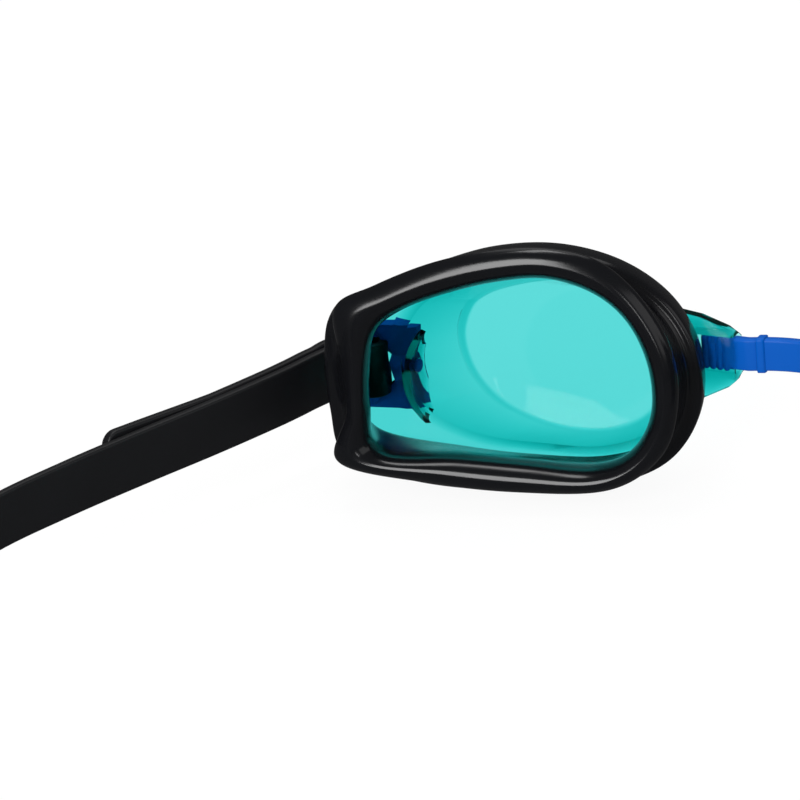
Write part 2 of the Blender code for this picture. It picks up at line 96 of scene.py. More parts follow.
INNER = [
    (20.8, 7.8), (16.4, 11.2), (9.4, 13.8), (1.2, 15.8), (-7.0, 16.4), (-14.4, 14.0),
    (-19.6, 9.4), (-22.6, 2.2), (-22.8, -5.6), (-19.4, -11.8), (-13.0, -14.4), (-2.0, -13.6),
    (9.0, -12.7), (21.2, -12.0), (22.5, -5.0), (22.2, 2.6),
]
SEAT = [
    (24.6, 8.6), (18.0, 12.0), (9.6, 14.8), (0.0, 16.6), (-9.0, 16.8), (-17.4, 14.4),
    (-23.4, 9.2), (-26.6, 1.8), (-26.2, -6.6), (-22.0, -13.2), (-13.4, -16.0), (-2.0, -15.8),
    (9.0, -14.6), (23.4, -11.8), (26.6, -5.0), (26.8, 2.4),
]
CUP_REAR = [
    (16.6, 8.0), (12.6, 11.0), (6.5, 13.4), (-1.0, 15.0), (-9.0, 15.2), (-16.5, 13.0),
    (-22.0, 8.4), (-25.0, 1.6), (-24.8, -6.0), (-21.0, -12.0), (-13.0, -14.6), (-3.5, -14.2),
    (6.5, -12.9), (14.6, -9.4), (18.6, -4.0), (19.5, 2.2),
]
CUP_FRONT = [
    (8.6, 6.6), (6.0, 9.0), (1.5, 10.6), (-4.0, 11.6), (-10.0, 11.6), (-15.8, 10.0),
    (-20.4, 6.6), (-23.0, 1.6), (-23.2, -4.2), (-20.6, -9.4), (-15.4, -12.4), (-8.4, -13.0),
    (-1.2, -11.4), (4.6, -8.2), (8.4, -3.6), (9.9, 2.0),
]

# The lens face's raised disc
FACE_DISC = [
    (-11.2 + 11.2 * math.cos(math.tau * i / 16), -0.4 + 10.4 * math.sin(math.tau * i / 16))
    for i in range(2, 18)
]

# The strap's route from beside the left eyecup to the middle of its rear
STRAP_ROUTE = [
    (75.6, 7.4, 16.0), (77.7, 10.6, 15.7), (79.4, 14.9, 15.5), (81.5, 20.2, 15.4),
    (86.3, 31.5, 15.3), (92.3, 45.0, 15.3), (98.4, 60.0, 15.4), (103.9, 75.0, 15.2),
    (107.6, 90.0, 13.9), (107.6, 106.0, 11.5), (101.6, 123.0, 8.9), (88.0, 139.5, 6.8),
    (66.0, 152.0, 5.4), (36.0, 159.5, 4.85), (0.0, 162.0, 4.75),
]
STRAP_ANGLE = 60.0
STRAP_LOOP = 2.23
STRAP_LAYER = 1.9
STRAP_CORNER = 2.2
TAIL_END = 51.0

# The nose lug as (out from the middle, lowest, highest), and half its thickness
LUG_SECTIONS = [
    (20.5, 11.8, 27.4), (16.5, 12.6, 26.9), (12.0, 15.0, 25.4), (10.7, 16.2, 24.5),
    (10.3, 17.0, 23.7),
]
LUG_Y = -7.6
LUG_HALF = 1.9
LUG_EDGE_HALF = 0.8
LUG_LOWER = 17.2
LUG_UPPER = 24.8
LUG_ROUNDING = 0.12

# The dome that holds the clip's stud, about the pivot
CRADLE_RADIUS = 10.9
CRADLE_WALL = 1.2
CRADLE_CENTRE = (-11.9, 0.0, 0.0)
CRADLE_PROFILE = [(9.6, 7.4), (1.2, 7.4), (-2.2, 3.2)]
CRADLE_ROUNDING = 0.2

# The clip, about the pivot, and the stud that it turns on
BAR_PLACE = (71.8, 3.6)
CLIP_ROOM = 0.3
HOLE_RADIUS = 1.28
SEAT_RADIUS = 1.88
STUD_SIDES = 48
STUD_PROFILE = [
    (0.7, 1.0), (0.68, 1.35), (0.6, 1.6), (0.45, 1.77), (0.2, 1.8), (0.2, 1.2), (-2.4, 1.2),
    (-2.6, 1.12), (-2.7, 0.9),
]

BRIDGE_HALF_THICKNESS = 0.85
BRIDGE_HALF_WIDTH = 2.8
BRIDGE_EDGE = 0.5
BRIDGE_HEIGHT = 21.0
BRIDGE_ARCH = 1.6
BRIDGE_ARCH_END = 8.3
BRIDGE_TEETH = 4

TINT_DENSITY = 1640.0  # per metre of plastic

CAMERA_AZIMUTH = 207.0
CAMERA_ELEVATION = 24.0
CAMERA_ROLL = 4.5
CAMERA_DISTANCE = 1.4
CAMERA_FOCAL = 390.6
CAMERA_ASIDE = (18.39, 5.16)
LIGHT_AIM = (30.0, 20.0, 20.0)


def linear(code):
    """A linear colour from an sRGB hex code."""
    values = [int(code[i : i + 2], 16) / 255 for i in (1, 3, 5)]
    return tuple(v / 12.92 if v <= 0.04045 else ((v + 0.055) / 1.055) ** 2.4 for v in values)


class GogglesSizes(bpy.types.PropertyGroup):
    strap_width: FloatProperty(
        name="Strap width", description="Width of the silicone strap",
        default=0.0094, unit="LENGTH",
    )
    strap_thickness: FloatProperty(
        name="Strap thickness", description="Thickness of the strap",
        default=0.0016, unit="LENGTH",
    )
    strap_edge: FloatProperty(
        name="Strap edge radius", description="Rounding of the strap's edges",
        default=0.0005, unit="LENGTH",
    )
    clip_edge: FloatProperty(
        name="Clip edge radius", description="Rounding of the clips' edges",
        default=0.0002, unit="LENGTH",
    )
    tooth_pitch: FloatProperty(
        name="Tooth pitch", description="Distance between the bridge's teeth",
        default=0.0012, unit="LENGTH",
    )


class GogglesColours(bpy.types.PropertyGroup):
    silicone: FloatVectorProperty(
        name="Seal silicone", description="Colour of the eye seals",
        default=linear("#0d0e11"), subtype="COLOR",
    )
    strap: FloatVectorProperty(
        name="Strap silicone", description="Colour of the strap",
        default=linear("#0e0f12"), subtype="COLOR",
    )
    lens: FloatVectorProperty(
        name="Lens tint", description="What the lens lets through",
        default=linear("#2bedec"), subtype="COLOR",
    )
    nylon: FloatVectorProperty(
        name="Nylon", description="Colour of the bridge and the clips",
        default=linear("#0051ac"), subtype="COLOR",
    )


def mm(*values):
    """A vector in metres from lengths in millimetres."""
    return Vector(values) * MM


def place_of(place, turn=(0.0, 0.0, 0.0)):
    """The matrix of a frame at a place, with turns in degrees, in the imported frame."""
    angles = Euler([math.radians(a) for a in turn])
    return Matrix.Translation(mm(*ORIGIN) + mm(*place)) @ angles.to_matrix().to_4x4()


WORLD = place_of((0.0, 0.0, 0.0))
CUP = place_of(CUP_PLACE, CUP_TURN)
PIVOT = place_of(PIVOT_PLACE)


# ---------------------------------------------------------------- modelling by hand


def deselect():
    if bpy.context.object and bpy.context.object.mode != "OBJECT":
        bpy.ops.object.mode_set(mode="OBJECT")
    bpy.ops.object.select_all(action="DESELECT")


def activate(piece):
    deselect()
    piece.select_set(True)
    bpy.context.view_layer.objects.active = piece


def outline(points, steps=OUTLINE_STEPS):
    """Points of a smooth closed curve through a few."""
    count = len(points)
    made = []
    for i in range(count):
        before, start, end, after = [Vector(points[(i + k) % count]) for k in (-1, 0, 1, 2)]
        first = start + (end - before) / 6
        second = end - (after - start) / 6
        made += interpolate_bezier(start, first, second, end, steps + 1)[:-1]
    return [(p.x, p.y) for p in made]


def inset(points, distance):
    """An outline moved inwards, or outwards where the distance is negative."""
    across = 1 - distance / HALF_SIZE[0]
    up = 1 - distance / HALF_SIZE[1]
    return [(s * across, t * up) for s, t in points]


def outset(points, distance):
    """An outline moved outwards about its own middle."""
    made = [[], []]
    for axis in (0, 1):
        values = [p[axis] for p in points]
        middle = (min(values) + max(values)) / 2
        half = (max(values) - min(values)) / 2
        made[axis] = [middle + (v - middle) * (1 + distance / half) for v in values]
    return list(zip(*made))


def between(one, other, share):
    """An outline part of the way from one to the other."""
    return [
        (a[0] + (b[0] - a[0]) * share, a[1] + (b[1] - a[1]) * share) for a, b in zip(one, other)
    ]


def ring(points, height, draft=0.0):
    """An outline at a height in the eyecup's frame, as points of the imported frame."""
    return [CUP @ mm(s, height, t - draft * (height + 3)) for s, t in outline(points)]


def face_height(across):
    """The lens face is nearer to the flange at the nose than at the temple."""
    return -11.3 - 0.07 * across


def face_ring(points, drop):
    return [CUP @ mm(s, face_height(s) + drop, t) for s, t in outline(points)]


def first_ring(name, points):
    """A new piece in edit mode that starts as one ring of points."""
    deselect()
    bpy.ops.mesh.primitive_circle_add(vertices=len(points), radius=MM)
    piece = bpy.context.object
    piece.name = name
    piece.data.name = name
    bpy.ops.object.mode_set(mode="EDIT")
    shape = bmesh.from_edit_mesh(piece.data)
    order = shape.verts.layers.int.new("order")
    for vert in shape.verts:
        vert[order] = vert.index
    place_ring(piece, points)
    return piece


def place_ring(piece, points):
    """Moves the selected ring onto its points."""
    shape = bmesh.from_edit_mesh(piece.data)
    order = shape.verts.layers.int["order"]
    for vert in shape.verts:
        if vert.select:
            vert.co = points[vert[order]]
    bmesh.update_edit_mesh(piece.data)


def next_ring(piece, points):
    """Extrudes the selected ring and moves the new one onto its points."""
    bpy.ops.mesh.extrude_region()
    place_ring(piece, points)


def leave(piece, smooth=40.0):
    """Back to object mode, with faces outwards and smooth up to an angle."""
    bpy.ops.mesh.select_all(action="SELECT")
    bpy.ops.mesh.normals_make_consistent(inside=False)
    bpy.ops.object.mode_set(mode="OBJECT")
    activate(piece)
    bpy.ops.object.shade_smooth_by_angle(angle=math.radians(smooth))
    return piece


def rounded_corners(half_across, half_up, radius):
    """A rounded rectangle's points, five to each quarter turn."""
    made = []
    for side, top, first in ((1, 1, 0), (-1, 1, 90), (-1, -1, 180), (1, -1, 270)):
        for k in range(5):
            a = math.radians(first + 22.5 * k)
            across = side * (half_across - radius) + radius * math.cos(a)
            made.append((across, top * (half_up - radius) + radius * math.sin(a)))
    return made


def loft(name, rings, closed=False, smooth=40.0):
    """A skin over rings, extruded from one to the next, then capped or joined end to end."""
    piece = first_ring(name, rings[0])
    count = len(rings[0])
    if not closed:
        bpy.ops.mesh.edge_face_add()
        bpy.ops.mesh.select_mode(type="EDGE")
    for points in rings[1:]:
        next_ring(piece, points)
    if closed:
        shape = bmesh.from_edit_mesh(piece.data)
        shape.verts.ensure_lookup_table()
        for vert in shape.verts[:count]:
            vert.select = True
        shape.select_flush(True)
        bmesh.update_edit_mesh(piece.data)
        bpy.ops.mesh.bridge_edge_loops()
    return leave(piece, smooth)


def apply_modifiers(piece):
    activate(piece)
    for change in list(piece.modifiers):
        bpy.ops.object.modifier_apply(modifier=change.name)


def boolean(piece, other, operation):
    """Joins another shape to a piece or cuts it out, and removes the other."""
    change = piece.modifiers.new(operation, "BOOLEAN")
    change.operation = operation
    change.solver = "EXACT"
    change.object = other
    apply_modifiers(piece)
    bpy.data.objects.remove(other)


def round_edges(piece, width, segments=3, angle=35.0):
    change = piece.modifiers.new("round", "BEVEL")
    change.width = width
    change.segments = segments
    change.limit_method = "ANGLE"
    change.angle_limit = math.radians(angle)
    apply_modifiers(piece)


def subdivide(piece, levels=1):
    change = piece.modifiers.new("smooth", "SUBSURF")
    change.levels = levels
    change.render_levels = levels
    apply_modifiers(piece)


def rod(name, start, end, radius, frame_matrix, sides=64):
    """A round rod between two points of a frame, in millimetres."""
    start, end = frame_matrix @ mm(*start), frame_matrix @ mm(*end)
    along = end - start
    deselect()
    bpy.ops.mesh.primitive_cylinder_add(vertices=sides, radius=radius * MM, depth=along.length)
    piece = bpy.context.object
    piece.name = name
    turn = along.to_track_quat("Z", "Y").to_matrix().to_4x4()
    piece.data.transform(Matrix.Translation((start + end) / 2) @ turn)
    return piece


def block(name, low, high, frame_matrix):
    """A box between two corners of a frame, in millimetres."""
    low, high = mm(*low), mm(*high)
    deselect()
    bpy.ops.mesh.primitive_cube_add(size=1.0)
    piece = bpy.context.object
    piece.name = name
    size = Matrix.Diagonal((*(high - low), 1.0))
    piece.data.transform(frame_matrix @ Matrix.Translation((low + high) / 2) @ size)
    return piece


def mirror_copy(piece, name):
    """The right side's copy of a left piece, with its own mesh."""
    activate(piece)
    bpy.ops.object.duplicate()
    other = bpy.context.object
    other.name = name
    other.data.name = name
    other.data.transform(Matrix.Scale(-1, 4, (1, 0, 0)))
    bpy.ops.object.mode_set(mode="EDIT")
    bpy.ops.mesh.select_all(action="SELECT")
    bpy.ops.mesh.flip_normals()
    bpy.ops.object.mode_set(mode="OBJECT")
    return other


def close_last(piece):
    """Caps the open end of a loft."""
    activate(piece)
    bpy.ops.object.mode_set(mode="EDIT")
    bpy.ops.mesh.select_mode(type="EDGE")
    bpy.ops.mesh.select_all(action="DESELECT")
    shape = bmesh.from_edit_mesh(piece.data)
    for edge in shape.edges:
        edge.select = edge.is_boundary
    bmesh.update_edit_mesh(piece.data)
    bpy.ops.mesh.edge_face_add()
    leave(piece)


def clean(piece):
    """Merges doubles and dissolves what lies flat."""
    activate(piece)
    bpy.ops.object.mode_set(mode="EDIT")
    bpy.ops.mesh.select_all(action="SELECT")
    bpy.ops.mesh.remove_doubles(threshold=0.000005)
    bpy.ops.mesh.dissolve_limited(angle_limit=math.radians(1))
    bpy.ops.mesh.select_all(action="SELECT")
    bpy.ops.mesh.normals_make_consistent(inside=False)
    bpy.ops.object.mode_set(mode="OBJECT")


# ---------------------------------------------------------------- materials


def node(tree, kind, settings=None, **links):
    """A node with its settings, and links or values for its sockets by name."""
    made = tree.nodes.new(kind)
    for key, value in (settings or {}).items():
        setattr(made, key, value)
    for key, value in links.items():
        socket = made.inputs[int(key[1:])] if key[0] == "i" and key[1:].isdigit() else None
        if socket is None:
            socket = made.inputs[key.replace("_", " ")]
        if isinstance(value, bpy.types.NodeSocket):
            tree.links.new(value, socket)
        else:
            socket.default_value = value
    return made


def new_material(name):
    made = bpy.data.materials.new(name)
    made.use_nodes = True
    return made, made.node_tree, made.node_tree.nodes["Principled BSDF"]


def moulded(name, dark, light, roughness, spread, grain_mm, grain_height, ior, specular=0.5):
    """A moulded polymer: its colour drifts a little, and its skin has a fine grain."""
    made, tree, shader = new_material(name)
    place = node(tree, "ShaderNodeTexCoord").outputs["Object"]
    drift = node(tree, "ShaderNodeTexNoise", None, Vector=place, Scale=1 / (9 * MM), Detail=3.0)
    tone = node(
        tree, "ShaderNodeMix", {"data_type": "RGBA"},
        i0=drift.outputs["Fac"], i6=(*dark, 1.0), i7=(*light, 1.0),
    )
    tree.links.new(tone.outputs[2], shader.inputs["Base Color"])
    smear = node(tree, "ShaderNodeTexNoise", None, Vector=place, Scale=1 / (2.5 * MM), Detail=4.0)
    dull = node(
        tree, "ShaderNodeMapRange", None,
        Value=smear.outputs["Fac"], To_Min=roughness - spread, To_Max=roughness + spread,
    )
    tree.links.new(dull.outputs[0], shader.inputs["Roughness"])
    grain = node(
        tree, "ShaderNodeTexNoise", None, Vector=place, Scale=1 / (grain_mm * MM), Detail=2.0
    )
    bump = node(
        tree, "ShaderNodeBump", None,
        Strength=0.5, Distance=grain_height * MM, Height=grain.outputs["Fac"],
    )
    tree.links.new(bump.outputs[0], shader.inputs["Normal"])
    shader.inputs["IOR"].default_value = ior
    shader.inputs["Specular IOR Level"].default_value = specular
    return made


def seal_silicone(colour):
    """Injection-moulded liquid silicone: near black, soft semi-gloss from a satin tool."""
    dark = tuple(c * 0.7 for c in colour)
    return moulded("moulded_seal_silicone", dark, colour, 0.17, 0.03, 0.25, 0.003, 1.43)


def strap_silicone(colour):
    """Extruded and stamped silicone strip: duller than the seals, with a finer skin."""
    dark = tuple(c * 0.75 for c in colour)
    return moulded("stamped_strap_silicone", dark, colour, 0.42, 0.05, 0.18, 0.004, 1.41)


def blue_nylon(colour):
    """Injection-moulded nylon: saturated blue, softly glossy, a fine moulded skin.

    Its specular level is below the typical 0.5, matched to the object.
    """
    dark = tuple(c * 0.85 for c in colour)
    return moulded("moulded_blue_nylon", dark, colour, 0.36, 0.05, 0.22, 0.005, 1.53, 0.1)


def teal_polycarbonate(tint):
    """Polished tinted polycarbonate: clear, with its colour deepening with thickness."""
    made, tree, shader = new_material("polished_teal_polycarbonate")
    place = node(tree, "ShaderNodeTexCoord").outputs["Object"]
    shader.inputs["Base Color"].default_value = (0.97, 1.0, 1.0, 1.0)
    shader.inputs["Transmission Weight"].default_value = 1.0
    # Typical polycarbonate has an IOR of 1.58 and a full specular tint. Both are lower here,
    # matched to the object, whose inner reflections are faint
    shader.inputs["IOR"].default_value = 1.22
    shader.inputs["Specular Tint"].default_value = (0.45, 0.45, 0.45, 1.0)
    haze = node(tree, "ShaderNodeTexNoise", None, Vector=place, Scale=1 / (6 * MM), Detail=3.0)
    dull = node(
        tree, "ShaderNodeMapRange", None, Value=haze.outputs["Fac"], To_Min=0.015, To_Max=0.05
    )
    tree.links.new(dull.outputs[0], shader.inputs["Roughness"])
    flow = node(tree, "ShaderNodeTexNoise", None, Vector=place, Scale=1 / (11 * MM), Detail=1.0)
    bump = node(
        tree, "ShaderNodeBump", None, Strength=0.3, Distance=0.02 * MM, Height=flow.outputs["Fac"]
    )
    tree.links.new(bump.outputs[0], shader.inputs["Normal"])
    depth = node(
        tree, "ShaderNodeVolumeAbsorption", None, Color=(*tint, 1.0), Density=TINT_DENSITY
    )
    tree.links.new(depth.outputs[0], tree.nodes["Material Output"].inputs["Volume"])
    return made


def finish_piece(piece, made, body, cad_node):
    piece.data.materials.clear()
    piece.data.materials.append(made)
    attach(piece, body)
    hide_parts(cad_node)


# ---------------------------------------------------------------- operators


class GOGGLES_OT_seals(bpy.types.Operator):
    """Models the two eye seals: a flange on the lens, a groove, and a soft rolled lip"""

    bl_idname = "goggles.seals"
    bl_label = "Eye seals"

    def execute(self, context):
        colours = context.scene.goggles_colours
        rings = [
            ring(SEAT, FLANGE_FRONT),
            ring(between(SEAT, FLANGE, 0.5), FLANGE_FRONT),
            ring(inset(FLANGE, 0.9), FLANGE_FRONT, DRAFT),
            ring(inset(FLANGE, 0.25), FLANGE_FRONT + 0.2, DRAFT),
            ring(FLANGE, FLANGE_FRONT + 0.9, DRAFT),
            ring(FLANGE, -1.2, DRAFT),
            ring(inset(FLANGE, 0.2), -0.45, DRAFT),
            ring(inset(FLANGE, 0.8), -0.2, DRAFT),
            ring(inset(FLANGE, 1.7), -0.1),
            ring(inset(FLANGE, 2.5), 0.4),
            ring(between(inset(FLANGE, 2.6), LIP, 0.15), 1.6),
            ring(between(inset(FLANGE, 2.6), LIP, 0.6), 4.2),
            ring(between(inset(FLANGE, 2.6), LIP, 0.96), 6.2),
            ring(inset(LIP, -0.1), 6.9),
            ring(inset(LIP, -0.1), 7.5),
            ring(between(LIP, CREST, 0.3), 8.5),
            ring(between(LIP, CREST, 0.85), 9.25),
            ring(between(CREST, INNER, 0.25), 9.0),
            ring(between(CREST, INNER, 0.75), 7.6),
            ring(INNER, 5.6),
            ring(between(INNER, SEAT, 0.3), 2.4),
            ring(between(INNER, SEAT, 0.8), -2.4),
            ring(SEAT, FLANGE_FRONT + 0.5),
        ]
        left = loft("left_eye_seal", rings, closed=True, smooth=180.0)
        subdivide(left)
        right = mirror_copy(left, "right_eye_seal")
        made = seal_silicone(colours.silicone)
        finish_piece(left, made, "left_eyecup", "left_gasket")
        finish_piece(right, made, "right_eyecup", "right_gasket")
        return {"FINISHED"}


def ball(name, radius):
    """A ball round the middle of the cradle's dome, with its poles along X."""
    deselect()
    bpy.ops.mesh.primitive_uv_sphere_add(segments=96, ring_count=64, radius=radius * MM)
    piece = bpy.context.object
    piece.name = name
    turn = Matrix.Rotation(math.radians(90), 4, "Y")
    piece.data.transform(PIVOT @ Matrix.Translation(mm(*CRADLE_CENTRE)) @ turn)
    return piece


def cradle():
    """The eyecup's domed wall that holds the clip's stud, standing forward from the rim."""
    profile = CRADLE_PROFILE + [(y, -z) for y, z in reversed(CRADLE_PROFILE)]
    made = loft("cradle", [[PIVOT @ mm(x, y, z) for y, z in profile] for x in (-CRADLE_RADIUS, 0)])
    close_last(made)
    boolean(made, ball("outside", CRADLE_RADIUS), "INTERSECT")
    inside = ball("inside", CRADLE_RADIUS)
    inside.data.transform(Matrix.Translation(mm(-CRADLE_WALL, 0, 0)))
    boolean(made, inside, "DIFFERENCE")
    clean(made)
    round_edges(made, CRADLE_ROUNDING * MM, 2, 50.0)
    boolean(made, block("behind", (-63, -6.1, -63), (63, 63, 63), CUP), "DIFFERENCE")
    return made


class GOGGLES_OT_lenses(bpy.types.Operator):
    """Models the two eyecups: a rim, a sloping wall and a face, with a nose lug and a stud cradle"""

    bl_idname = "goggles.lenses"
    bl_label = "Eyecups"

    def execute(self, context):
        colours = context.scene.goggles_colours
        back = FLANGE_FRONT - SEAT_GAP
        front = back - RIM_THICKNESS
        rear_outer = outset(CUP_REAR, WALL)
        outer = [
            face_ring(FACE_DISC, -FACE_THICKNESS - 0.05),
            face_ring(outset(FACE_DISC, 0.12), -FACE_THICKNESS - 0.04),
            face_ring(outset(FACE_DISC, 0.4), -FACE_THICKNESS),
            face_ring(outset(CUP_FRONT, WALL - 1.7), -FACE_THICKNESS),
            face_ring(outset(CUP_FRONT, WALL - 1.2), 0.05 - FACE_THICKNESS),
            face_ring(outset(CUP_FRONT, WALL - 0.8), 0.24 - FACE_THICKNESS),
            face_ring(outset(CUP_FRONT, WALL - 0.45), 0.6 - FACE_THICKNESS),
            face_ring(outset(CUP_FRONT, WALL - 0.25), 1.1 - FACE_THICKNESS),
            ring(between(outset(CUP_FRONT, WALL - 0.25), rear_outer, 0.88), front - 0.7),
            ring(rear_outer, front - 0.2),
            ring(outset(rear_outer, 0.3), front),
            ring(inset(FLANGE, RIM_INSET + 0.3), front, DRAFT),
            ring(inset(FLANGE, RIM_INSET), front + 0.3, DRAFT),
            ring(inset(FLANGE, RIM_INSET), back - 0.3, DRAFT),
            ring(inset(FLANGE, RIM_INSET + 0.3), back, DRAFT),
        ]
        left = loft("left_eyecup_lens", outer)
        close_last(left)

        half, thin = LUG_HALF, LUG_EDGE_HALF
        rings = []
        for x, low, high in LUG_SECTIONS:
            upper = LUG_UPPER - (LUG_SECTIONS[0][2] - high) * 0.4
            corners = [
                (-thin, low), (thin, low), (half, LUG_LOWER), (half, upper),
                (thin, high), (-thin, high), (-half, upper), (-half, LUG_LOWER),
            ]
            rings.append([WORLD @ mm(x, LUG_Y + y, z) for y, z in corners])
        lug = loft("lug", rings)
        close_last(lug)
        round_edges(lug, LUG_ROUNDING * MM, 2, 50.0)
        boolean(left, lug, "UNION")
        boolean(left, cradle(), "UNION")
        hollow = [
            face_ring(inset(CUP_FRONT, 0.4), 0.0),
            face_ring(inset(CUP_FRONT, -0.05), 0.12),
            face_ring(inset(CUP_FRONT, -0.3), 0.45),
            face_ring(inset(CUP_FRONT, -0.5), 0.9),
            ring(between(inset(CUP_FRONT, -0.5), CUP_REAR, 0.97), back - 0.25),
            ring(CUP_REAR, back + 0.1),
            ring(CUP_REAR, back + 1.2),
        ]
        hollow = loft("hollow", hollow)
        close_last(hollow)
        boolean(left, hollow, "DIFFERENCE")
        slot = block("slot", (9.3, -9.0, 17.9), (17.9, -6.2, 24.1), WORLD)
        boolean(left, slot, "DIFFERENCE")
        hole = rod("hole", (62.8, *PIVOT_PLACE[1:]), PIVOT_PLACE, HOLE_RADIUS, WORLD)
        boolean(left, hole, "DIFFERENCE")
        activate(left)
        bpy.ops.object.shade_smooth_by_angle(angle=math.radians(32))
        right = mirror_copy(left, "right_eyecup_lens")
        made = teal_polycarbonate(colours.lens)
        finish_piece(left, made, "left_eyecup", "left_lens")
        finish_piece(right, made, "right_eyecup", "right_lens")
        return {"FINISHED"}


def strap_directions():
    """Along the strap where it leaves the left clip, and outwards across it, in plan."""
    angle = math.radians(STRAP_ANGLE)
    return Vector((math.sin(angle), math.cos(angle))), Vector((math.cos(angle), -math.sin(angle)))


class GOGGLES_OT_clips(bpy.types.Operator):
    """Models the two side clips, with their arms and strap bars, and the studs they turn on"""

    bl_idname = "goggles.clips"
    bl_label = "Side clips"

    def execute(self, context):
        colours = context.scene.goggles_colours
        sizes = context.scene.goggles_sizes
        half_arm, top, half_hub, half_slot = 1.2, 7.4, 0.7, 5.2
        bar = Vector((BAR_PLACE[0] - PIVOT_PLACE[0], BAR_PLACE[1] - PIVOT_PLACE[1]))
        tip = bar.x + 1.6
        horn = -half_hub - 1.9
        plan = [
            (horn, -half_arm), (half_hub, -half_arm), (tip, bar.y - half_arm + 0.3),
            (tip, bar.y + half_arm - 0.6), (half_hub, half_arm), (-half_hub, half_arm),
            (horn, half_arm - 0.8),
        ]
        clip = loft("left_clip", [[PIVOT @ mm(x, y, z) for x, y in plan] for z in (-top, top)])
        close_last(clip)
        window = block("window", (half_hub, -9, -half_slot), (tip + 1, 9, half_slot), PIVOT)
        boolean(clip, window, "DIFFERENCE")
        clean(clip)
        along, across = strap_directions()
        corners = []
        for i in range(24):
            a = math.tau * (i + 0.5) / 24
            corners.append(bar + along * (1.2 * math.cos(a)) + across * (0.7 * math.sin(a)))
        rings = [[PIVOT @ mm(c.x, c.y, z) for c in corners] for z in (-top + 0.5, top - 0.5)]
        post = loft("post", rings)
        close_last(post)
        boolean(clip, post, "UNION")
        boolean(clip, rod("hub", (-1.4, 0, 0), (half_hub + 0.1, 0, 0), 2.5, PIVOT), "UNION")
        hole = rod("hole", (-3, 0, 0), (3, 0, 0), HOLE_RADIUS, PIVOT, STUD_SIDES)
        boolean(clip, hole, "DIFFERENCE")
        seat = rod("seat", (half_hub - 0.58, 0, 0), (3, 0, 0), SEAT_RADIUS, PIVOT, STUD_SIDES)
        boolean(clip, seat, "DIFFERENCE")
        boolean(clip, ball("room", CRADLE_RADIUS + CLIP_ROOM), "DIFFERENCE")
        round_edges(clip, sizes.clip_edge, 2, 50.0)
        activate(clip)
        bpy.ops.object.shade_smooth_by_angle(angle=math.radians(40))
        other = mirror_copy(clip, "right_clip")

        stud = turned("left_clip_stud", STUD_PROFILE)
        other_stud = mirror_copy(stud, "right_clip_stud")
        made = blue_nylon(colours.nylon)
        finish_piece(clip, made, "left_clip", "left_side_clip")
        finish_piece(other, made, "right_clip", "right_side_clip")
        finish_piece(stud, made, "left_eyecup", "left_clip_pivot")
        finish_piece(other_stud, made, "right_eyecup", "right_clip_pivot")
        return {"FINISHED"}


def turned(name, profile):
    """A turned piece about the pivot's axis from (along, out) points."""
    angles = [math.tau * i / STUD_SIDES for i in range(STUD_SIDES)]
    rings = [
        [PIVOT @ mm(along, out * math.cos(a), out * math.sin(a)) for a in angles]
        for along, out in profile
    ]
    piece = loft(name, rings)
    close_last(piece)
    return piece


class GOGGLES_OT_bridge(bpy.types.Operator):
    """Models the nose bridge: an arched strip with a rib outside each lug and teeth inside"""

    bl_idname = "goggles.bridge"
    bl_label = "Nose bridge"

    def execute(self, context):
        colours = context.scene.goggles_colours
        pitch = context.scene.goggles_sizes.tooth_pitch / MM
        stations = [(x * 0.5, 0.0) for x in range(0, 11)]
        stations += [(5.6, 0.0), (5.72, 0.25), (5.85, 0.35), (6.75, 0.35), (6.88, 0.25), (7.0, 0.0)]
        stations += [(7.5, 0.0), (8.0, 0.0), (8.5, 0.0), (9.0, 0.0), (9.5, 0.0), (10.3, 0.0)]
        start = 16.4 - BRIDGE_TEETH * pitch
        for tooth in range(BRIDGE_TEETH):
            foot = start + tooth * pitch
            stations += [(foot, 0.0), (foot + 0.3, 0.25), (foot + 0.7, 0.25)]
        stations += [(16.25, 0.0), (16.4, -0.15)]
        stations = [(-x, rise) for x, rise in reversed(stations[1:])] + stations
        rings = []
        for x, rise in stations:
            arch = LUG_Y - BRIDGE_ARCH * max(0.0, 1 - (x / BRIDGE_ARCH_END) ** 2)
            half_width = BRIDGE_HALF_WIDTH + min(rise, 0.25)
            corners = rounded_corners(BRIDGE_HALF_THICKNESS + rise, half_width, BRIDGE_EDGE)
            rings.append([WORLD @ mm(x, arch + y, BRIDGE_HEIGHT + z) for y, z in corners])
        bridge = loft("nose_strip", rings)
        close_last(bridge)
        made = blue_nylon(colours.nylon)
        finish_piece(bridge, made, "bridge", "nose_bridge")
        return {"FINISHED"}


def smooth_path(points, steps):
    """Points of a smooth open curve through a few."""
    rows = [Vector(p) for p in points]
    rows = [rows[0] * 2 - rows[1], *rows, rows[-1] * 2 - rows[-2]]
    made = []
    for before, start, end, after in zip(rows, rows[1:], rows[2:], rows[3:]):
        first = start + (end - before) / 6
        second = end - (after - start) / 6
        made += interpolate_bezier(start, first, second, end, steps + 1)[:-1]
    return made + [rows[-2]]


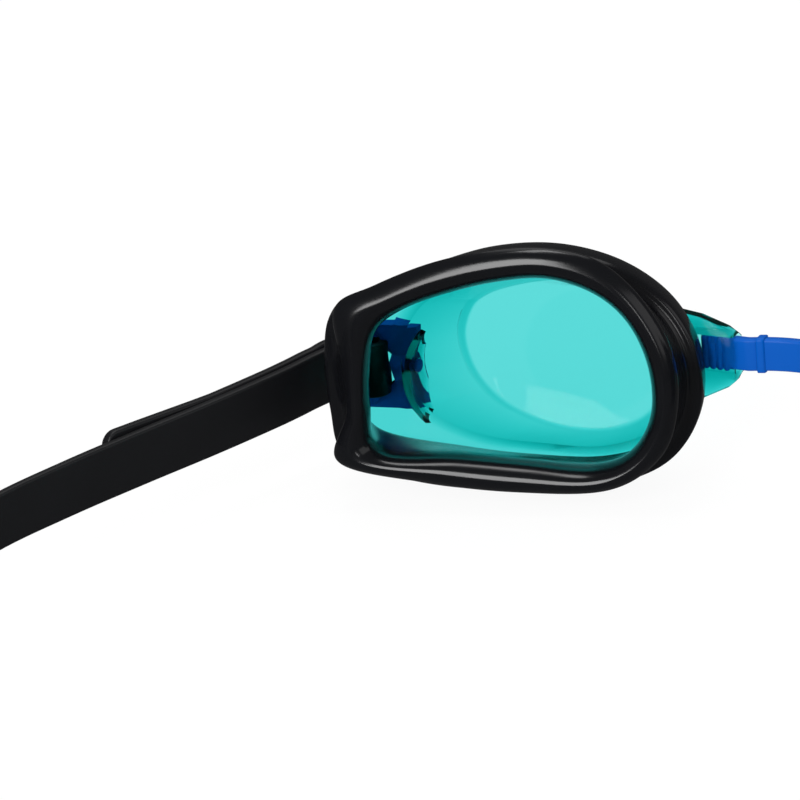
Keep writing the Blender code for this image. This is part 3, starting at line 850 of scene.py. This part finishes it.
def strap_half():
    """The left half's centreline: the tail's end, forward to the clip, round its bar and back."""
    along, across = strap_directions()
    loop = STRAP_LOOP
    centre = Vector(BAR_PLACE) - along * 0.92 - across * 0.43
    turn = []
    for i in range(25):
        angle = math.pi * i / 24
        point = centre + across * (loop * math.cos(angle)) - along * (loop * math.sin(angle))
        turn.append(Vector((point.x, point.y, PIVOT_PLACE[2])))
    leaving = turn[-1].copy()
    leaving.xy += along * 2.6 + across * 0.35
    main = smooth_path([turn[-1], leaving, *STRAP_ROUTE], 8)[1:]
    layer = STRAP_LAYER
    tail = []
    travelled = 0.0
    for before, point, after in zip([turn[-1], *main], main, main[1:]):
        if point.y > TAIL_END:
            break
        travelled += (point - before).length
        run = (after - before).normalized()
        closing = min(1.0, max(0.0, (travelled - 2.4) / 7.0))
        width = layer + (2 * loop - layer) * (1 - closing) ** 2 * (1 + 2 * closing)
        risen = max(0.0, (point.y - 30.0) / (TAIL_END - 30.0))
        tail.append(point + Vector((run.y, -run.x, 0)) * width + Vector((0, 0, 0.9 * risen)))
    return tail[::-1] + turn + main


class GOGGLES_OT_strap(bpy.types.Operator):
    """Models the head strap: one flat band looped through both clips, with rounded tail ends"""

    bl_idname = "goggles.strap"
    bl_label = "Head strap"

    def execute(self, context):
        colours = context.scene.goggles_colours
        sizes = context.scene.goggles_sizes
        half_width = sizes.strap_width / MM / 2
        half_thick = sizes.strap_thickness / MM / 2
        edge = sizes.strap_edge / MM
        left = strap_half()
        centre = left + [Vector((-p.x, p.y, p.z)) for p in reversed(left[:-1])]
        corner = STRAP_CORNER
        shares = (0.0, 0.06, 0.15, 0.3, 0.5, 0.75, 1.0)
        first = (centre[1] - centre[0]).normalized() * corner
        last = (centre[-2] - centre[-1]).normalized() * corner
        points = [(centre[0] + first * share, corner * (1 - share)) for share in shares]
        skip = 0
        while (centre[skip] - centre[0]).length < corner * 1.05:
            skip += 1
        points += [(p, 0.0) for p in centre[skip:-skip]]
        points += [(centre[-1] + last * share, corner * (1 - share)) for share in reversed(shares)]
        rings = []
        for i, (point, short) in enumerate(points):
            before = points[max(0, i - 1)][0]
            after = points[min(len(points) - 1, i + 1)][0]
            run = (after - before).normalized()
            up = (Vector((0, 0, 1)) - run * run.z).normalized()
            out = run.cross(up)
            taken = corner - math.sqrt(max(0.0, corner**2 - short**2))
            corners = rounded_corners(half_width - taken, half_thick, edge)
            rings.append([mm(*ORIGIN) + (point + up * u + out * v) * MM for u, v in corners])
        strap = loft("head_strap", rings)
        close_last(strap)
        made = strap_silicone(colours.strap)
        finish_piece(strap, made, "strap", "strap")
        return {"FINISHED"}


class GOGGLES_OT_stage(bpy.types.Operator):
    """Sets a pale floor, soft studio light and the camera behind the left eyecup"""

    bl_idname = "goggles.stage"
    bl_label = "Stage"

    def execute(self, context):
        deselect()
        bpy.ops.mesh.primitive_circle_add(vertices=128, radius=6.0, fill_type="NGON")
        floor = context.object
        floor.name = "studio_floor"
        made, tree, shader = new_material("matt_white_paper")
        shader.inputs["Base Color"].default_value = (0.05, 0.05, 0.05, 1.0)
        shader.inputs["Roughness"].default_value = 0.9
        shader.inputs["Emission Color"].default_value = (1.0, 1.0, 1.0, 1.0)
        shader.inputs["Emission Strength"].default_value = 0.93
        floor.data.materials.append(made)
        floor.visible_glossy = False

        world = bpy.data.worlds.new("studio")
        context.scene.world = world
        world.use_nodes = True
        tree = world.node_tree
        tree.nodes.clear()
        path = node(tree, "ShaderNodeLightPath")
        wide = node(tree, "ShaderNodeBackground", None, Color=(1.0, 1.0, 1.0, 1.0), Strength=0.8)
        dim = node(tree, "ShaderNodeBackground", None, Color=(1.0, 1.0, 1.0, 1.0), Strength=0.10)
        mirrored_only = node(
            tree, "ShaderNodeMath", {"operation": "SUBTRACT", "use_clamp": True},
            i0=path.outputs["Is Glossy Ray"], i1=path.outputs["Is Transmission Ray"],
        )
        mix = node(
            tree, "ShaderNodeMixShader", None,
            i0=mirrored_only.outputs[0], i1=wide.outputs[0], i2=dim.outputs[0],
        )
        node(tree, "ShaderNodeOutputWorld", None, Surface=mix.outputs[0])

        softbox("back_softbox", 179, 27, 0.9, (0.34, 0.62), 6.6)
        softbox("top_softbox", 68, 83, 0.8, (0.34, 0.14), 1.0)
        softbox("side_panel", 268, 22, 0.9, (0.8, 0.5), 1.0)
        softbox("front_fill", 20, 60, 0.9, (0.6, 0.6), 1.2)
        softbox("edge_strip", 224, 16, 1.0, (0.06, 0.3), 0.5)

        lens = bpy.data.cameras.new("studio_camera")
        camera = bpy.data.objects.new("studio_camera", lens)
        context.scene.collection.objects.link(camera)
        context.scene.camera = camera
        lens.sensor_width = 36.0
        lens.lens = CAMERA_FOCAL
        lens.clip_start = 0.05
        lens.clip_end = 50.0
        back, right, up = camera_axes()
        turn = math.radians(CAMERA_ROLL)
        across = right * math.cos(turn) - up * math.sin(turn)
        upward = right * math.sin(turn) + up * math.cos(turn)
        target = WORLD @ mm(*CUP_PLACE)
        aside, above = CAMERA_ASIDE
        place = target + back * CAMERA_DISTANCE - across * aside * MM - upward * above * MM
        axes = Matrix((across, upward, back)).transposed().to_4x4()
        camera.matrix_world = Matrix.Translation(place) @ axes
        context.scene.view_settings.view_transform = "Standard"
        return {"FINISHED"}


def direction(azimuth, elevation):
    """The way from the object to a viewer. Azimuth 0 looks along +Y."""
    a, e = math.radians(azimuth), math.radians(elevation)
    return Vector((math.sin(a) * math.cos(e), -math.cos(a) * math.cos(e), math.sin(e)))


def camera_axes():
    back = direction(CAMERA_AZIMUTH, CAMERA_ELEVATION)
    right = (-back).cross(Vector((0, 0, 1))).normalized()
    return back, right, right.cross(-back)


def softbox(name, azimuth, elevation, distance, size, power):
    """An area light that faces the left eyecup."""
    light = bpy.data.lights.new(name, "AREA")
    light.shape = "RECTANGLE"
    light.size, light.size_y = size
    light.energy = power
    lamp = bpy.data.objects.new(name, light)
    bpy.context.scene.collection.objects.link(lamp)
    away = direction(azimuth, elevation)
    aim = WORLD @ mm(*LIGHT_AIM)
    turn = away.to_track_quat("Z", "Y").to_matrix().to_4x4()
    lamp.matrix_world = Matrix.Translation(aim + away * distance) @ turn
    lamp.visible_camera = False
    return lamp


class GOGGLES_PT_panel(bpy.types.Panel):
    """Lists the pieces of the goggles, their sizes and their colours"""

    bl_idname = "GOGGLES_PT_panel"
    bl_label = "Swim goggles"
    bl_space_type = "VIEW_3D"
    bl_region_type = "UI"
    bl_category = "Goggles"

    def draw(self, context):
        for group in (context.scene.goggles_sizes, context.scene.goggles_colours):
            for name in group.bl_rna.properties.keys():
                if name not in ("rna_type", "name"):
                    self.layout.prop(group, name)
        for operator in PIECES:
            self.layout.operator(operator.bl_idname)


PIECES = (
    GOGGLES_OT_seals, GOGGLES_OT_lenses, GOGGLES_OT_clips, GOGGLES_OT_bridge, GOGGLES_OT_strap,
    GOGGLES_OT_stage,
)
CLASSES = (GogglesSizes, GogglesColours, *PIECES, GOGGLES_PT_panel)


def register():
    for item in CLASSES:
        bpy.utils.register_class(item)
    bpy.types.Scene.goggles_sizes = PointerProperty(type=GogglesSizes)
    bpy.types.Scene.goggles_colours = PointerProperty(type=GogglesColours)


def unregister():
    del bpy.types.Scene.goggles_colours
    del bpy.types.Scene.goggles_sizes
    for item in reversed(CLASSES):
        bpy.utils.unregister_class(item)


def main():
    register()
    bpy.ops.goggles.seals()
    bpy.ops.goggles.lenses()
    bpy.ops.goggles.clips()
    bpy.ops.goggles.bridge()
    bpy.ops.goggles.strap()
    bpy.ops.goggles.stage()
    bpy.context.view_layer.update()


if __name__ == "__main__":
    main()
